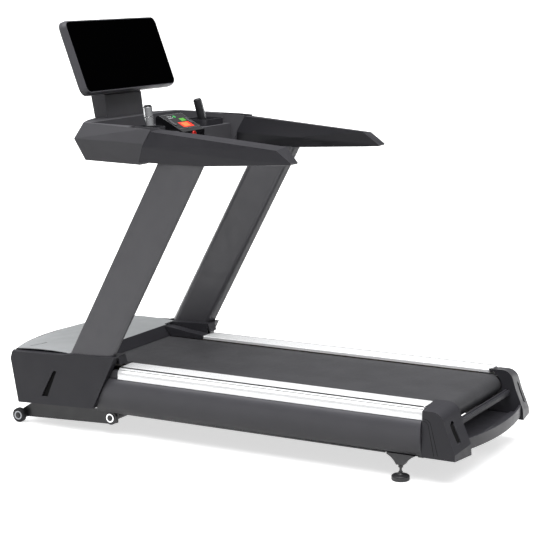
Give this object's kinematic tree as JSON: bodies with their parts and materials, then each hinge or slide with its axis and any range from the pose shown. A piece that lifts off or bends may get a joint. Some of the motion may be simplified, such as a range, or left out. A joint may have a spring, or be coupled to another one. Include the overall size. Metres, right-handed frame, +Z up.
{
  "type": "treadmill",
  "caption": "Powered treadmill with a long belt deck, side foot rails, leaning uprights, long handrails, a console with pulse grips and a large screen.",
  "frame": {"origin": "on the floor, under the middle of the overall length and width", "axes": "+X is the right of a person running, +Y is forwards towards the motor hood and screen, +Z is up"},
  "size_m": [0.912, 2.29, 1.8104],
  "materials": {
    "frame_steel": "satin black powder coat",
    "bare_steel": "turned and ground",
    "bright_steel": "polished",
    "rail_aluminium": "polished, clear anodised",
    "deck_wood": "black waxed face on a wood fibre board",
    "belt_rubber": "fine pebbled black top",
    "soft_rubber": "matt",
    "grey_plastic": "fine-textured slate grey",
    "mid_plastic": "fine-textured mid grey",
    "dark_plastic": "satin near black",
    "silver_plastic": "metallic silver",
    "upright_paint": "satin slate grey",
    "motor_black": "satin",
    "cast_grey": "as cast",
    "glass_black": "high gloss black cover lens",
    "panel_black": null,
    "red_plastic": "gloss",
    "green_plastic": "gloss",
    "grip_rubber": "satin"
  },
  "bodies": {
    "machine": {"frame_tubes": "frame_steel", "frame_cross_members": "frame_steel", "frame_brackets": "frame_steel", "lift_pivot_pins": "bright_steel", "motor_pan": "frame_steel", "deck_board": "deck_wood", "deck_cushions": "soft_rubber", "running_belt": "belt_rubber", "roller_axles": "bare_steel", "belt_tension_bolts": "bare_steel", "drive_motor": "motor_black", "drive_belt": "soft_rubber", "motor_controller": "cast_grey", "incline_motor": "motor_black", "foot_rail_left": "rail_aluminium", "foot_rail_right": "rail_aluminium", "rail_front_blocks": "mid_plastic", "side_skirt_left": "grey_plastic", "side_skirt_right": "grey_plastic", "rear_cap_left": "dark_plastic", "rear_cap_right": "dark_plastic", "rear_guard": "dark_plastic", "roller_guard_bar": "dark_plastic", "foot_lock_nuts": "frame_steel", "motor_hood": "silver_plastic", "hood_rear_trim": "dark_plastic", "side_cover_left": "dark_plastic", "side_cover_right": "dark_plastic", "front_panel": "dark_plastic", "power_inlet": "dark_plastic", "upright_left": "upright_paint", "upright_right": "upright_paint", "handrail_left": "dark_plastic", "handrail_right": "dark_plastic", "console_body": "mid_plastic", "console_trays": "dark_plastic", "control_panel": "panel_black", "pulse_grips": "grip_rubber", "pulse_plates": "bright_steel", "screen_neck": "mid_plastic"},
    "front_roller": {"front_roller": "bare_steel", "drive_pulley": "cast_grey", "roller_bearings_front": "bright_steel"},
    "rear_roller": {"rear_roller": "bare_steel", "roller_bearings_rear": "bright_steel"},
    "motor_rotor": {"motor_rotor": "bare_steel"},
    "lift_frame": {"lift_frame": "frame_steel", "lift_wheel_axles": "frame_steel"},
    "front_wheel_left": {"front_wheel_left": "soft_rubber"},
    "front_wheel_right": {"front_wheel_right": "soft_rubber"},
    "incline_screw": {"incline_screw": "bare_steel"},
    "leveling_foot_left": {"leveling_foot_left": "frame_steel"},
    "leveling_foot_right": {"leveling_foot_right": "frame_steel"},
    "screen": {"screen_shell": "grey_plastic", "screen_glass": "glass_black"},
    "stop_button": {"stop_button": "red_plastic"},
    "start_button": {"start_button": "green_plastic"},
    "speed_rocker": {"speed_rocker": "mid_plastic"},
    "incline_rocker": {"incline_rocker": "mid_plastic"},
    "power_switch": {"power_switch": "red_plastic"}
  },
  "joints": [
    {"name": "front_roller_spin", "type": "hinge", "parent": "machine", "child": "front_roller", "pos_m": [0, 0.73, 0.256], "axis": [1, 0, 0], "continuous": true},
    {"name": "rear_roller_spin", "type": "hinge", "parent": "machine", "child": "rear_roller", "pos_m": [0, -0.97, 0.256], "axis": [1, 0, 0], "continuous": true},
    {"name": "motor_spin", "type": "hinge", "parent": "machine", "child": "motor_rotor", "pos_m": [0, 0.908, 0.268], "axis": [1, 0, 0], "continuous": true},
    {"name": "lift_hinge", "type": "hinge", "parent": "machine", "child": "lift_frame", "pos_m": [0, 0.54, 0.08], "axis": [-1, 0, 0], "range_deg": [0, 34]},
    {"name": "incline_screw_slide", "type": "slide", "parent": "machine", "child": "incline_screw", "axis": [0, 1, 0], "range_m": [0, 0.05303]},
    {"name": "front_wheel_left_spin", "type": "hinge", "parent": "lift_frame", "child": "front_wheel_left", "pos_m": [-0.3995, 1.034, 0.033], "axis": [1, 0, 0], "continuous": true},
    {"name": "front_wheel_right_spin", "type": "hinge", "parent": "lift_frame", "child": "front_wheel_right", "pos_m": [0.3995, 1.034, 0.033], "axis": [1, 0, 0], "continuous": true},
    {"name": "leveling_foot_left_screw", "type": "slide", "parent": "machine", "child": "leveling_foot_left", "axis": [0, 0, -1], "range_m": [0, 0.02]},
    {"name": "leveling_foot_right_screw", "type": "slide", "parent": "machine", "child": "leveling_foot_right", "axis": [0, 0, -1], "range_m": [0, 0.02]},
    {"name": "screen_tilt", "type": "hinge", "parent": "machine", "child": "screen", "pos_m": [0, 0.77, 1.58], "axis": [-1, 0, 0], "range_deg": [0, 12]},
    {"name": "stop_button_press", "type": "slide", "parent": "machine", "child": "stop_button", "axis": [0, 1, 0], "range_m": [0, 0.004], "stiffness_N_per_m": 900, "springref_m": -0.002},
    {"name": "start_button_press", "type": "slide", "parent": "machine", "child": "start_button", "axis": [0, 0.4715, -0.8819], "range_m": [0, 0.002], "stiffness_N_per_m": 900, "springref_m": -0.001},
    {"name": "speed_rocker_tilt", "type": "hinge", "parent": "machine", "child": "speed_rocker", "pos_m": [0.07, 0.40633, 1.36264], "axis": [1, 0, 0], "range_deg": [-5, 5], "stiffness_Nm_per_rad": 0.6},
    {"name": "incline_rocker_tilt", "type": "hinge", "parent": "machine", "child": "incline_rocker", "pos_m": [-0.07, 0.40633, 1.36264], "axis": [1, 0, 0], "range_deg": [-5, 5], "stiffness_Nm_per_rad": 0.6},
    {"name": "power_switch_rock", "type": "hinge", "parent": "machine", "child": "power_switch", "pos_m": [-0.012, 1.096, 0.16], "axis": [1, 0, 0], "range_deg": [0, 16]}
  ],
  "couplings": [
    {"joint": "rear_roller_spin", "follows": "front_roller_spin", "ratio": 1},
    {"joint": "motor_spin", "follows": "front_roller_spin", "ratio": 2.5},
    {"joint": "incline_screw_slide", "follows": "lift_hinge", "m_per_rad": 0.088685}
  ]
}
